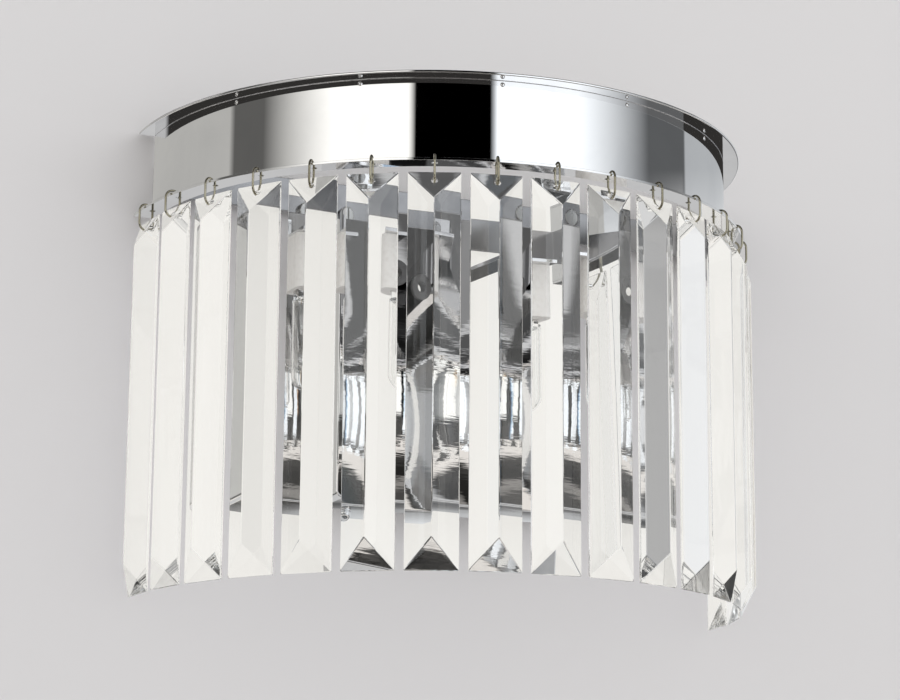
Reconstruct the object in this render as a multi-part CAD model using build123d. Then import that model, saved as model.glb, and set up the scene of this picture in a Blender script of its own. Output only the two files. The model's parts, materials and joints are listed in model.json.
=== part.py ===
from build123d import *
from math import asin, atan, degrees, hypot, sqrt
import os

# Crystal wall sconce: a half-round chrome drum on the wall, open at the top and bottom, with a skirt
# of hanging crystal prisms round its lower lip, and two capsule lamps inside.
# Frame: +Z up, +X to the right, the wall is the plane Y = 0 and the sconce stands out towards -Y.
# The origin is on the wall, midway between the two slots of the wall bracket. Lengths are millimetres.

# Crystal prisms: flat back towards the lamp, ridge outwards, both ends bevelled back to the ridge.
prism_length = 150.0
prism_width = 20.0
prism_depth = 7.0
prism_side_land = 0.8
prism_bevel = 11.6
prism_end_land = 0.6
prism_bore = 2.5
prism_bore_drop = 4.0
prism_least_gap = 3.0

# Wire rings that hang the prisms from the lip.
wire = 0.9
ring_height = 11.6
ring_back_clear = 0.25
ring_seat_clear = 0.3
ring_bore_clear = 0.1

# Drum: a bent band between a flat top flange and a flat bottom lip, all of one sheet gauge.
lip_below_plate_top = 6.5
lip_width = 7.5
lip_strip = 3.0
lip_hole_clear = 1.5
flange_width = 6.5
band_outer_radius = 122.0
drum_height = 34.7
drum_sheet = 1.0
wall_gap = 1.0
weld_dot_count = 6
weld_dot_first_deg = -60.3
weld_dot_pitch_deg = 25.6
weld_dot_diameter = 1.8
weld_dot_rise = 0.4
weld_dot_drop = 1.6

# Rear strap that closes the D of the drum along the wall.
strap_above_plate = 1.5
strap_height = 14.0
strap_sheet = 1.5
strap_ear_depth = 16.0
strap_screw_spacing = 14.0

# Wall bracket: a vertical bar with two slots for the wall screws and two folded tabs.
bar_width = 26.0
bar_sheet = 2.0
slot_spacing = 60.0
slot_width = 5.0
slot_length = 12.0
cable_hole = 12.0
tab_width = 16.0
tab_depth = 18.0
tab_clear = 0.3

# Back plate: a folded rectangular pan that covers the wall box and the wiring.
plate_width = 100.0
plate_height = 120.0
plate_depth = 25.0
plate_sheet = 1.0
plate_corner = 3.0
plate_front_edge = 0.9
plate_screw_from_wall = 12.0
notch_clear = 0.3

# Lamp brackets, sockets and capsule lamps.
lamp_beyond_plate = 2.0
lamp_y = 56.0
foot_top_gap = 4.0
shelf_sheet = 1.5
shelf_front = 9.0
shelf_side = 9.0
shelf_neck = 12.0
foot_width = 13.0
foot_height = 16.0
foot_edge_gap = 1.0
foot_screw_low = 4.5
foot_screw_spacing = 7.0
socket_width = 20.0
socket_depth = 13.0
socket_height = 22.0
socket_corner = 4.0
socket_recess = 6.0
socket_screw_length = 6.0
recess_clear = 0.3
pinch_width = 12.0
pinch_depth = 4.0
pinch_length = 9.0
bulb_diameter = 13.5
bulb_length = 36.0
bulb_wall = 1.0
pin_spacing = 9.0
pin_width = 2.4
pin_thickness = 0.8
pin_length = 6.0
pin_clear = 0.15

# Fasteners.
m4 = 4.0
m4_head = 7.6
m4_head_height = 2.6
m3 = 3.0
m3_head = 5.6
m3_head_height = 2.0
m3_nut_flats = 5.5
m3_nut_height = 2.4
head_roundness = 4
hole_clear = 0.15
drive_width = 0.9
drive_depth = 1.0
dome_head = 7.0
dome_head_height = 4.0
plate_screw_tip = 1.5

# Wiring parts inside the back plate.
terminal_length = 30.0
terminal_width = 14.0
terminal_height = 16.0
terminal_from_bottom = 27.0
terminal_poles = 3
terminal_bore = 3.6
terminal_screw = 3.4
terminal_screw_length = 4.0
terminal_screw_sink = 0.8
terminal_screw_clear = 0.1
terminal_chamfer = 1.0
grommet_x = 26.0
grommet_from_top = 26.0
grommet_bore = 4.5
grommet_neck = 8.0
grommet_flange = 11.0
grommet_flange_height = 1.4
earth_screw_from_end = 12.7

# How far a cutting shape runs past the face that it cuts.
overrun = 1.0

# Sizes that follow from those above.
plate_top_z = plate_height / 2
lip_top_z = plate_top_z - lip_below_plate_top
lip_hole = wire + lip_hole_clear
lip_bottom_z = lip_top_z - drum_sheet
flange_top_z = lip_top_z + drum_height
flange_bottom_z = flange_top_z - drum_sheet
band_inner_radius = band_outer_radius - drum_sheet
lip_outer_radius = band_outer_radius + lip_width
flange_outer_radius = band_outer_radius + flange_width
strap_bottom_z = plate_top_z + strap_above_plate
strap_top_z = strap_bottom_z + strap_height
strap_middle_z = (strap_bottom_z + strap_top_z) / 2
foot_top_z = plate_top_z - foot_top_gap
shelf_top_z = foot_top_z - foot_height
lamp_x = plate_width / 2 + lamp_beyond_plate
terminal_z = terminal_from_bottom - plate_top_z
grommet_z = plate_top_z - grommet_from_top
shelf_bottom_z = shelf_top_z - shelf_sheet
socket_bottom_z = shelf_bottom_z - socket_height
ring_radius = lip_outer_radius - lip_strip / 2


def block(x0, x1, y0, y1, z0, z1):
    """A box between two corners."""
    return Pos((x0 + x1) / 2, (y0 + y1) / 2, (z0 + z1) / 2) * Box(x1 - x0, y1 - y0, z1 - z0)


def both_sides(shape):
    """The shape and its mirror image across the middle plane."""
    return [shape, mirror(shape, about=Plane.YZ)]


def rod(diameter, start, direction, length):
    """A cylinder that starts at a point and runs along a direction."""
    plane = Plane(origin=start, z_dir=direction)
    return extrude(plane * Circle(diameter / 2), amount=length)


def half_ring(outer, inner, z0, z1):
    """The front half of a flat ring, cut off just before the wall."""
    ring = extrude(Plane.XY.offset(z0) * (Circle(outer) - Circle(inner)), amount=z1 - z0)
    return ring & block(-outer, outer, -outer, -wall_gap, z0, z1)


def drive_slot(seat, head, head_height):
    """The slot for a screwdriver, sunk into the top of a head that stands on the seat."""
    top = Plane(seat.origin - seat.z_dir * head_height, z_dir=seat.z_dir)
    return top * Box(head, drive_width, 2 * drive_depth)


def slotted_screw(diameter, head, head_height, length, start, direction):
    """A cheese-head screw: the underside of its head sits at the start, the shank runs on."""
    seat = Plane(origin=start, z_dir=direction)
    shank = extrude(seat * Circle(diameter / 2), amount=length)
    cap = extrude(seat * Circle(head / 2), amount=-head_height)
    rims = cap.edges().group_by(lambda edge: (edge.center() - seat.origin).dot(seat.z_dir))
    cap = fillet(rims[0], head_height / head_roundness)
    return shank + cap - drive_slot(seat, head, head_height)


def dome_screw(diameter, length, start, direction):
    """A screw with a polished half-ball head, as holds the back plate to its bracket."""
    seat = Plane(origin=start, z_dir=direction)
    sphere_radius = (dome_head ** 2 / 4 + dome_head_height ** 2) / (2 * dome_head_height)
    ball = seat * (Pos(0, 0, sphere_radius - dome_head_height) * Sphere(sphere_radius))
    head = ball & (seat * (Pos(0, 0, -sphere_radius) * Cylinder(sphere_radius, 2 * sphere_radius)))
    shank = extrude(seat * Circle(diameter / 2), amount=length)
    return shank + head - drive_slot(seat, dome_head, dome_head_height)


def hex_nut(flats, height, bore, start, direction):
    """A plain nut that sits on the start and stands up along the direction."""
    seat = Plane(origin=start, z_dir=direction)
    profile = RegularPolygon(flats / 2, 6, major_radius=False) - Circle(bore / 2)
    return extrude(seat * profile, amount=height)


# Crystal prism in its own place: back on the plane Y = 0, ridge towards -Y, top edge at Z = 0.
def make_prism():
    half = prism_width / 2
    outline = Polyline((-half, 0), (half, 0), (half, -prism_side_land), (0, -prism_depth),
                       (-half, -prism_side_land), close=True)
    bar = extrude(make_face(outline), amount=-prism_length)
    bevel_line = Polyline((-prism_end_land, 0), (-prism_depth, -prism_bevel),
                          (-prism_depth - prism_bevel, 0), close=True)
    wedge = extrude(Plane.YZ * make_face(bevel_line), amount=half, both=True)
    bar = bar - wedge - mirror(wedge, about=Plane.XY.offset(-prism_length / 2))
    bore = rod(prism_bore, (0, prism_depth, -prism_bore_drop), (0, -1, 0), 3 * prism_depth)
    return bar - bore


prism_blank = make_prism()
prism_balance = -prism_blank.center(CenterOf.MASS).Y

# The prisms share out the half circle evenly, as many as leave the least gap between their backs.
prism_back_radius = ring_radius - prism_balance
prism_half_angle = atan(prism_width / 2 / prism_back_radius)
gap_half_angle = asin(prism_least_gap / 2 / hypot(prism_back_radius, prism_width / 2))
prism_count = int(90 / degrees(prism_half_angle + gap_half_angle))
prism_pitch_deg = 180 / prism_count

# Ring and its pivot. The wire clears the back of the prism, and its top arc turns about the pivot
# round the strip of lip between the hole and the outer edge.
ring_inner_radius = prism_balance + ring_back_clear
ring_line_radius = ring_inner_radius + wire / 2
pivot_z = lip_top_z - sqrt((ring_inner_radius - ring_seat_clear) ** 2 - (lip_strip / 2) ** 2)
ring_leg = ring_height - 2 * (ring_line_radius + wire / 2)
ring_bottom_z = pivot_z - ring_leg - ring_line_radius

# The straight bore lies on the curved wire, so its top clears the wire where that leaves the back.
back_drop = sqrt(ring_line_radius ** 2 - prism_balance ** 2)
wire_rise = ring_line_radius - back_drop
wire_cover = wire / 2 * ring_line_radius / back_drop
bore_top_z = ring_bottom_z + wire_rise + wire_cover + ring_bore_clear
prism_top_z = bore_top_z - prism_bore / 2 + prism_bore_drop


def make_ring():
    """An oval of wire in the plane X = 0, round the point where it turns."""
    r = ring_line_radius
    path = Wire([
        Line((0, -r, 0), (0, -r, -ring_leg)).edge(),
        ThreePointArc((0, -r, -ring_leg), (0, 0, -ring_leg - r), (0, r, -ring_leg)).edge(),
        Line((0, r, -ring_leg), (0, r, 0)).edge(),
        ThreePointArc((0, r, 0), (0, 0, r), (0, -r, 0)).edge(),
    ])
    section = Plane(origin=(0, -r, 0), z_dir=(0, 0, -1)) * Circle(wire / 2)
    return sweep(section, path=path)


def around_drum(shape, angle_deg, z):
    """Moves a shape from the plane Y = 0 to the ring radius, at an angle round the drum."""
    return Rot(0, 0, angle_deg) * (Pos(0, -ring_radius, z) * shape)


def prism_angles():
    """Angles round the drum from the left end, with 0 straight ahead."""
    return [(index + 0.5) * prism_pitch_deg - 90 for index in range(prism_count)]


# Drum.
def make_band():
    return half_ring(band_outer_radius, band_inner_radius, lip_top_z, flange_bottom_z)


def make_flange():
    return half_ring(flange_outer_radius, band_inner_radius, flange_bottom_z, flange_top_z)


def make_lip():
    lip = half_ring(lip_outer_radius, band_inner_radius, lip_bottom_z, lip_top_z)
    hole_radius = lip_outer_radius - lip_strip - lip_hole / 2
    for angle in prism_angles():
        hole = Pos(0, -hole_radius, lip_top_z) * Cylinder(lip_hole / 2, 4 * drum_sheet)
        lip -= Rot(0, 0, angle) * hole
    return lip


def make_weld_dots():
    """Small domed weld marks on the band, just under the top flange."""
    sphere = ((weld_dot_diameter / 2) ** 2 + weld_dot_rise ** 2) / (2 * weld_dot_rise)
    centre = band_outer_radius + weld_dot_rise - sphere
    ball = Pos(0, -centre, flange_bottom_z - weld_dot_drop) * Sphere(sphere)
    ball -= Pos(0, 0, flange_bottom_z) * Cylinder(band_outer_radius, drum_height)
    angles = [weld_dot_first_deg + index * weld_dot_pitch_deg for index in range(weld_dot_count)]
    return [Rot(0, 0, angle) * ball for angle in angles]


strap_front = bar_sheet + strap_sheet


def strap_screw_places():
    return [-strap_screw_spacing / 2, strap_screw_spacing / 2]


def make_rear_strap():
    """A flat bar along the wall whose ends turn forward inside the ends of the band."""
    reach = 2 * band_outer_radius
    inside_band = Pos(0, 0, strap_middle_z) * Cylinder(band_inner_radius, strap_height)
    inside_ears = Pos(0, 0, strap_middle_z) * Cylinder(band_inner_radius - strap_sheet, strap_height)
    bar = block(-reach, reach, -strap_front, -bar_sheet, strap_bottom_z, strap_top_z) & inside_band
    ears = block(-reach, reach, -strap_ear_depth, -bar_sheet, strap_bottom_z, strap_top_z) & inside_band
    strap = bar + (ears - inside_ears)
    for x in strap_screw_places():
        strap -= rod(m4 + 2 * hole_clear, (x, 0, strap_middle_z), (0, -1, 0), 2 * strap_front)
    return strap


def make_strap_screws():
    """Two screws through the strap into the bracket, flush with the bracket's back."""
    starts = [(x, -strap_front, strap_middle_z) for x in strap_screw_places()]
    return [slotted_screw(m4, m4_head, m4_head_height, strap_front, start, (0, 1, 0)) for start in starts]


# Wall bracket.
tab_top_z = plate_top_z - plate_sheet - tab_clear
earth_screw_z = earth_screw_from_end - tab_top_z


def make_wall_bracket():
    """A bar with a folded tab at the bottom and another folded out of a window near the top."""
    bar = block(-bar_width / 2, bar_width / 2, -bar_sheet, 0, -tab_top_z, strap_top_z)
    tab = block(-tab_width / 2, tab_width / 2, -tab_depth, -bar_sheet, tab_top_z - bar_sheet, tab_top_z)
    bracket = bar + tab + mirror(tab, about=Plane.XY)
    tab_reach = tab_depth - bar_sheet
    bracket -= block(-tab_width / 2, tab_width / 2, -bar_sheet, 0,
                     tab_top_z - bar_sheet - tab_reach, tab_top_z - bar_sheet)
    slot = Plane.XZ * (Rot(0, 0, 90) * SlotOverall(slot_length, slot_width))
    slot = extrude(slot, amount=2 * bar_sheet, both=True)
    for z in (-slot_spacing / 2, slot_spacing / 2):
        bracket -= Pos(0, 0, z) * slot
    bracket -= rod(cable_hole, (0, bar_sheet, 0), (0, -1, 0), 3 * bar_sheet)
    for x in strap_screw_places():
        bracket -= rod(m4, (x, bar_sheet, strap_middle_z), (0, -1, 0), 3 * bar_sheet)
    bracket -= rod(m4, (0, bar_sheet, earth_screw_z), (0, -1, 0), 3 * bar_sheet)
    bracket -= rod(m4, (0, -plate_screw_from_wall, -plate_height), (0, 0, 1), 2 * plate_height)
    return bracket


def make_plate_screws():
    """One screw down through the top of the back plate and one up through its bottom."""
    length = plate_sheet + tab_clear + bar_sheet + plate_screw_tip
    top = dome_screw(m4, length, (0, -plate_screw_from_wall, plate_top_z), (0, 0, -1))
    return [top, mirror(top, about=Plane.XY)]


# Back plate.
def make_back_plate():
    """A pan with its open side to the wall, notched at the top for the bar of the bracket."""
    half_w = plate_width / 2
    pan = block(-half_w, half_w, -plate_depth, 0, -plate_top_z, plate_top_z)
    pan = fillet(pan.edges().filter_by(Axis.Y), plate_corner)
    pan = fillet(pan.faces().sort_by(Axis.Y)[0].edges(), plate_front_edge)
    inside = block(-half_w + plate_sheet, half_w - plate_sheet, -plate_depth + plate_sheet, plate_sheet,
                   -plate_top_z + plate_sheet, plate_top_z - plate_sheet)
    inside = fillet(inside.edges().filter_by(Axis.Y), plate_corner - plate_sheet)
    pan -= inside
    notch = bar_width / 2 + notch_clear
    pan -= block(-notch, notch, -bar_sheet - notch_clear, plate_sheet,
                 plate_top_z - 2 * plate_sheet, plate_top_z + plate_sheet)
    pan -= rod(m4 + 2 * hole_clear, (0, -plate_screw_from_wall, -plate_height), (0, 0, 1), 2 * plate_height)
    through = plate_sheet + 2 * overrun
    for x, z in foot_screw_places():
        pan -= rod(m3 + 2 * hole_clear, (x, -plate_depth - overrun, z), (0, 1, 0), through)
    for x in (-grommet_x, grommet_x):
        pan -= rod(grommet_neck, (x, -plate_depth - overrun, grommet_z), (0, 1, 0), through)
    return pan


# Lamp brackets.
foot_outer_x = plate_width / 2 - foot_edge_gap
foot_inner_x = foot_outer_x - foot_width


def foot_screw_places():
    x = (foot_outer_x + foot_inner_x) / 2
    low = shelf_top_z + foot_screw_low
    return [(side * x, z) for side in (-1, 1) for z in (low, low + foot_screw_spacing)]


def make_lamp_bracket():
    """The right-hand bracket: a foot on the back plate and a shelf that reaches out over the lamp."""
    foot_front = plate_depth + shelf_sheet
    tip = lamp_y + shelf_front
    foot = block(foot_inner_x, foot_outer_x, -foot_front, -plate_depth, shelf_bottom_z, foot_top_z)
    neck = block(foot_inner_x, foot_outer_x, -tip, -plate_depth, shelf_bottom_z, shelf_top_z)
    pad = block(foot_inner_x, lamp_x + shelf_side, -tip, shelf_neck - lamp_y, shelf_bottom_z, shelf_top_z)
    bracket = foot + neck + pad
    through = shelf_sheet + 2 * overrun
    bracket -= rod(m3 + 2 * hole_clear, (lamp_x, -lamp_y, shelf_bottom_z - overrun), (0, 0, 1), through)
    for x, z in foot_screw_places():
        bracket -= rod(m3 + 2 * hole_clear, (x, -foot_front - overrun, z), (0, 1, 0), through)
    return bracket


def make_lamp_bracket_screws():
    """Screws through each foot and the back plate, flush with their nuts."""
    length = shelf_sheet + plate_sheet + m3_nut_height
    starts = [(x, -plate_depth - shelf_sheet, z) for x, z in foot_screw_places()]
    return [slotted_screw(m3, m3_head, m3_head_height, length, start, (0, 1, 0)) for start in starts]


def make_lamp_bracket_nuts():
    starts = [(x, -plate_depth + plate_sheet, z) for x, z in foot_screw_places()]
    return [hex_nut(m3_nut_flats, m3_nut_height, m3, start, (0, 1, 0)) for start in starts]


# Sockets and lamps.
def make_socket():
    """The right-hand ceramic socket, hanging under its shelf, with a recess and two pin holes."""
    body = block(lamp_x - socket_width / 2, lamp_x + socket_width / 2, -lamp_y - socket_depth / 2,
                 -lamp_y + socket_depth / 2, socket_bottom_z, shelf_bottom_z)
    body = fillet(body.edges().filter_by(Axis.Z), socket_corner)
    half_x = pinch_width / 2 + recess_clear
    half_y = pinch_depth / 2 + recess_clear
    recess_top_z = socket_bottom_z + socket_recess
    body -= block(lamp_x - half_x, lamp_x + half_x, -lamp_y - half_y, half_y - lamp_y,
                  socket_bottom_z, recess_top_z)
    pin_half_x = pin_width / 2 + pin_clear
    pin_half_y = pin_thickness / 2 + pin_clear
    for x in pin_places():
        body -= block(x - pin_half_x, x + pin_half_x, -lamp_y - pin_half_y, pin_half_y - lamp_y,
                      recess_top_z, pin_top_z + pin_clear)
    body -= rod(m3, (lamp_x, -lamp_y, shelf_bottom_z - socket_screw_length), (0, 0, 1), socket_screw_length)
    return body


pinch_top_z = socket_bottom_z + socket_recess - recess_clear
pin_top_z = pinch_top_z + pin_length


def pin_places():
    return [lamp_x - pin_spacing / 2, lamp_x + pin_spacing / 2]


def make_socket_screw():
    return slotted_screw(m3, m3_head, m3_head_height, shelf_sheet + socket_screw_length,
                         (lamp_x, -lamp_y, shelf_top_z), (0, 0, -1))


def capsule(diameter, length):
    """A tube that hangs from Z = 0 and ends in a half ball."""
    straight = length - diameter / 2
    tube = Pos(0, 0, -straight / 2) * Cylinder(diameter / 2, straight)
    return tube + Pos(0, 0, -straight) * Sphere(diameter / 2)


def make_bulb():
    """The right-hand lamp: a hollow glass capsule under a flat pinch."""
    pinch = block(-pinch_width / 2, pinch_width / 2, -pinch_depth / 2, pinch_depth / 2, -pinch_length, 0)
    shell = Pos(0, 0, -pinch_length) * capsule(bulb_diameter, bulb_length)
    hollow_length = bulb_length - 2 * bulb_wall
    hollow = Pos(0, 0, -pinch_length - bulb_wall) * capsule(bulb_diameter - 2 * bulb_wall, hollow_length)
    return Pos(lamp_x, -lamp_y, pinch_top_z) * (pinch + shell - hollow)


def make_bulb_pins():
    """The two flat pins of the right-hand lamp."""
    half_y = pin_thickness / 2
    pin = block(-pin_width / 2, pin_width / 2, -lamp_y - half_y, half_y - lamp_y, pinch_top_z, pin_top_z)
    return [Pos(x, 0, 0) * pin for x in pin_places()]


# Wiring parts.
terminal_front = plate_depth - plate_sheet
terminal_back = terminal_front - terminal_height


def terminal_places():
    pitch = terminal_length / terminal_poles
    return [(index - (terminal_poles - 1) / 2) * pitch for index in range(terminal_poles)]


def terminal_screw_rows():
    return [terminal_z - terminal_width / 4, terminal_z + terminal_width / 4]


def make_terminal_block():
    """A three-way block on the inside of the back plate, its screws towards the wall."""
    body = block(-terminal_length / 2, terminal_length / 2, -terminal_front, -terminal_back,
                 terminal_z - terminal_width / 2, terminal_z + terminal_width / 2)
    body = chamfer(body.faces().sort_by(Axis.Y)[-1].edges(), terminal_chamfer)
    middle_y = -(terminal_front + terminal_back) / 2
    screw_bore = terminal_screw + 2 * terminal_screw_clear
    screw_depth = terminal_screw_length + terminal_screw_sink
    for x in terminal_places():
        wire_start = (x, middle_y, terminal_z - terminal_width)
        body -= rod(terminal_bore, wire_start, (0, 0, 1), 2 * terminal_width)
        for z in terminal_screw_rows():
            body -= rod(screw_bore, (x, -terminal_back, z), (0, -1, 0), screw_depth)
    return body


def make_terminal_screws():
    screws = []
    for x in terminal_places():
        for z in terminal_screw_rows():
            top = -terminal_back - terminal_screw_sink
            screw = rod(terminal_screw, (x, top, z), (0, -1, 0), terminal_screw_length)
            screw -= Pos(x, top, z) * Box(terminal_screw, 2 * drive_depth, drive_width)
            screws.append(screw)
    return screws


def make_earth_screw():
    return slotted_screw(m4, m4_head, m4_head_height, bar_sheet, (0, -bar_sheet, earth_screw_z), (0, 1, 0))


def make_grommet():
    """The right-hand rubber grommet, through the face of the back plate."""
    outside = (grommet_x, -plate_depth, grommet_z)
    inside = (grommet_x, -plate_depth + plate_sheet, grommet_z)
    body = rod(grommet_flange, outside, (0, -1, 0), grommet_flange_height)
    body += rod(grommet_neck, outside, (0, 1, 0), plate_sheet)
    body += rod(grommet_flange, inside, (0, 1, 0), grommet_flange_height)
    return body - rod(grommet_bore, (grommet_x, -2 * plate_depth, grommet_z), (0, 1, 0), 2 * plate_depth)


def save(name, shapes):
    """Writes one node: a single solid, or a group of separate ones."""
    solids = shapes if isinstance(shapes, list) else [shapes]
    node = solids[0] if len(solids) == 1 else Compound(children=solids)
    node.label = name
    export_step(node, f"parts/{name}.step")


os.makedirs("parts", exist_ok=True)

fixed_nodes = {
    "wall_bracket": make_wall_bracket(),
    "rear_strap": make_rear_strap(),
    "strap_screws": make_strap_screws(),
    "back_plate": make_back_plate(),
    "plate_screws": make_plate_screws(),
    "drum_band": make_band(),
    "top_flange": make_flange(),
    "bottom_lip": make_lip(),
    "weld_dots": make_weld_dots(),
    "lamp_bracket_screws": make_lamp_bracket_screws(),
    "lamp_bracket_nuts": make_lamp_bracket_nuts(),
    "socket_screws": both_sides(make_socket_screw()),
    "terminal_block": make_terminal_block(),
    "terminal_screws": make_terminal_screws(),
    "earth_screw": make_earth_screw(),
    "lead_grommets": both_sides(make_grommet()),
    "bulb_pins": make_bulb_pins() + [mirror(pin, about=Plane.YZ) for pin in make_bulb_pins()],
}
for name, shapes in fixed_nodes.items():
    save(name, shapes)

paired_nodes = {
    "lamp_bracket": make_lamp_bracket(),
    "socket": make_socket(),
    "bulb": make_bulb(),
}
for name, shape in paired_nodes.items():
    right, left = both_sides(shape)
    save(f"{name}_right", right)
    save(f"{name}_left", left)

ring_blank = make_ring()
hung_prism = Pos(0, prism_balance, 0) * prism_blank
for number, angle in enumerate(prism_angles(), start=1):
    save(f"ring_{number:02d}", around_drum(ring_blank, angle, pivot_z))
    save(f"prism_{number:02d}", around_drum(hung_prism, angle, prism_top_z))

print("prisms", prism_count, "at", round(prism_pitch_deg, 4), "degrees")
print("prism centre of mass in front of its back face:", round(prism_balance, 3))
print("ring pivot: radius", ring_radius, "height", round(pivot_z, 3))
print("prism top at", round(prism_top_z, 3), "ring outer width", round(2 * ring_line_radius + wire, 2))
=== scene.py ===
import json
import math

import bmesh
import bpy
import numpy as np
from mathutils import Matrix, Vector


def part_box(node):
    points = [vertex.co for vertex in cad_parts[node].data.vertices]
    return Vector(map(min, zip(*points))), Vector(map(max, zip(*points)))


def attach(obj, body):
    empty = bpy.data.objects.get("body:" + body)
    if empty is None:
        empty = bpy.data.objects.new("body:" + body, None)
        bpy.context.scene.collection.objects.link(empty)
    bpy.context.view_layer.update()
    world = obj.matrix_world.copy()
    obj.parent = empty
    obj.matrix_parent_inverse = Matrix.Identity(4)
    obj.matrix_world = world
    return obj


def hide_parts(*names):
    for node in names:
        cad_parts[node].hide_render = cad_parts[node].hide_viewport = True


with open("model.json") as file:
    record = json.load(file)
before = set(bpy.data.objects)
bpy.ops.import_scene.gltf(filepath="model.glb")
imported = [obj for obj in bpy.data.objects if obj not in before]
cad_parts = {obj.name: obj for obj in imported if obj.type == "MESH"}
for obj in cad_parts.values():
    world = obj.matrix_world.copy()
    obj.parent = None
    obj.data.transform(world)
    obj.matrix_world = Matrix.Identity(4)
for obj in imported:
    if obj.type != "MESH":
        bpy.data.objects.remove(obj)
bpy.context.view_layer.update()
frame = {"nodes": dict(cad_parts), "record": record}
nodes = frame["nodes"]
bodyOf = {node: body for body, members in frame["record"]["behaviour"]["bodies"].items() for node in members}
print("stage: frame loaded,", len(nodes), "nodes")

mm = 0.001


# node helpers: one line adds a node, wires its inputs and returns it

def addNode(tree, kind, values=None, **settings):
    made = tree.nodes.new("ShaderNode" + kind)
    for key, value in settings.items():
        setattr(made, key, value)
    for key, value in (values or {}).items():
        setInput(tree, made, key, value)
    return made


def setInput(tree, node, key, value):
    socket = node.inputs[key]
    if isinstance(value, bpy.types.NodeSocket):
        tree.links.new(value, socket)
    else:
        socket.default_value = value


def maths(tree, operation, a, b=0.0, clamp=False):
    return addNode(tree, "Math", {0: a, 1: b}, operation=operation, use_clamp=clamp).outputs[0]


def ramp(tree, fac, stops):
    # stops are (place, grey or colour), read in a straight line between them
    made = addNode(tree, "ValToRGB", {"Fac": fac})
    points = made.color_ramp.elements
    while len(points) < len(stops):
        points.new(0.5)
    for point, (place, colour) in zip(points, stops):
        point.position = place
        point.color = (*colour, 1) if isinstance(colour, tuple) else (colour, colour, colour, 1)
    return made.outputs["Color"]


def mixColour(tree, fac, a, b, blend="MIX"):
    made = addNode(tree, "Mix", data_type="RGBA", blend_type=blend)
    setInput(tree, made, 0, fac)
    setInput(tree, made, 6, a)
    setInput(tree, made, 7, b)
    return made.outputs[2]


def newGroup(name, inputs, outputs):
    # inputs are (name, socket kind, default), outputs are (name, socket kind)
    group = bpy.data.node_groups.new(name, "ShaderNodeTree")
    for label, kind, default in inputs:
        socket = group.interface.new_socket(label, in_out="INPUT", socket_type="NodeSocket" + kind)
        if default is not None:
            socket.default_value = default
    for label, kind in outputs:
        group.interface.new_socket(label, in_out="OUTPUT", socket_type="NodeSocket" + kind)
    return group, group.nodes.new("NodeGroupInput").outputs, group.nodes.new("NodeGroupOutput")


# shared effects: each mask runs from 0 at the first place of its range to 1 at the second

handling = {"smudgeDetail": 4.0, "smudgeRough": 0.55, "smudgeWarp": 0.6, "smudgeRange": (0.42, 0.72),
            "scratchTurn": (0.5, 0.3, 0.9), "scratchStretch": (1.0, 0.035, 1.0),
            "scratchDetail": 2.0, "scratchRough": 0.7, "scratchRange": (0.62, 0.74)}
dust = {"facingRange": (0.35, 0.95), "speckDetail": 5.0, "speckRange": (0.35, 0.75)}
drawn = {"detail": 3.0, "rough": 0.6}


def maskOf(tree, value, reach):
    return addNode(tree, "MapRange", {"Value": value, 1: reach[0], 2: reach[1]}).outputs[0]


def makeHandlingGroup():
    # soft wiped smudges and short fine scratches
    group, given, out = newGroup("handlingMarks", [
        ("Vector", "Vector", None), ("Smudge Size", "Float", 40.0), ("Scratch Size", "Float", 900.0)],
        [("Smudge", "Float"), ("Scratch", "Float")])
    smudge = addNode(group, "TexNoise", {
        "Vector": given["Vector"], "Scale": given["Smudge Size"], "Detail": handling["smudgeDetail"],
        "Roughness": handling["smudgeRough"], "Distortion": handling["smudgeWarp"]})
    turned = addNode(group, "Mapping", {"Vector": given["Vector"], "Rotation": handling["scratchTurn"],
                                        "Scale": handling["scratchStretch"]})
    lines = addNode(group, "TexNoise", {
        "Vector": turned.outputs[0], "Scale": given["Scratch Size"], "Detail": handling["scratchDetail"],
        "Roughness": handling["scratchRough"]})
    group.links.new(maskOf(group, smudge.outputs[0], handling["smudgeRange"]), out.inputs["Smudge"])
    group.links.new(maskOf(group, lines.outputs[0], handling["scratchRange"]), out.inputs["Scratch"])
    return group


def makeDustGroup():
    # a thin film of dust that gathers on what faces up, broken up by noise
    group, given, out = newGroup("dustFilm", [
        ("Vector", "Vector", None), ("Amount", "Float", 0.3), ("Grain", "Float", 260.0)], [("Mask", "Float")])
    normal = addNode(group, "NewGeometry").outputs["Normal"]
    upward = addNode(group, "SeparateXYZ", {0: normal}).outputs[2]
    grain = addNode(group, "TexNoise", {"Vector": given["Vector"], "Scale": given["Grain"],
                                        "Detail": dust["speckDetail"]})
    facing = maskOf(group, upward, dust["facingRange"])
    specks = maskOf(group, grain.outputs[0], dust["speckRange"])
    both = maths(group, "MULTIPLY", facing, specks)
    group.links.new(maths(group, "MULTIPLY", both, given["Amount"], clamp=True), out.inputs["Mask"])
    return group


def makeGrainGroup():
    # drawn or rolled metal: fine lines along one way
    group, given, out = newGroup("drawnGrain", [
        ("Vector", "Vector", None), ("Size", "Float", 1400.0), ("Stretch", "Vector", (1.0, 1.0, 0.04))],
        [("Lines", "Float")])
    stretched = addNode(group, "Mapping", {"Vector": given["Vector"], "Scale": given["Stretch"]})
    lines = addNode(group, "TexNoise", {"Vector": stretched.outputs[0], "Scale": given["Size"],
                                        "Detail": drawn["detail"], "Roughness": drawn["rough"]})
    group.links.new(lines.outputs[0], out.inputs["Lines"])
    return group


handlingMarks = makeHandlingGroup()
dustFilm = makeDustGroup()
drawnGrain = makeGrainGroup()


def placeGroup(tree, group, **values):
    made = addNode(tree, "Group")
    made.node_tree = group
    for key, value in values.items():
        setInput(tree, made, key.replace("_", " "), value)
    return made.outputs


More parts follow.
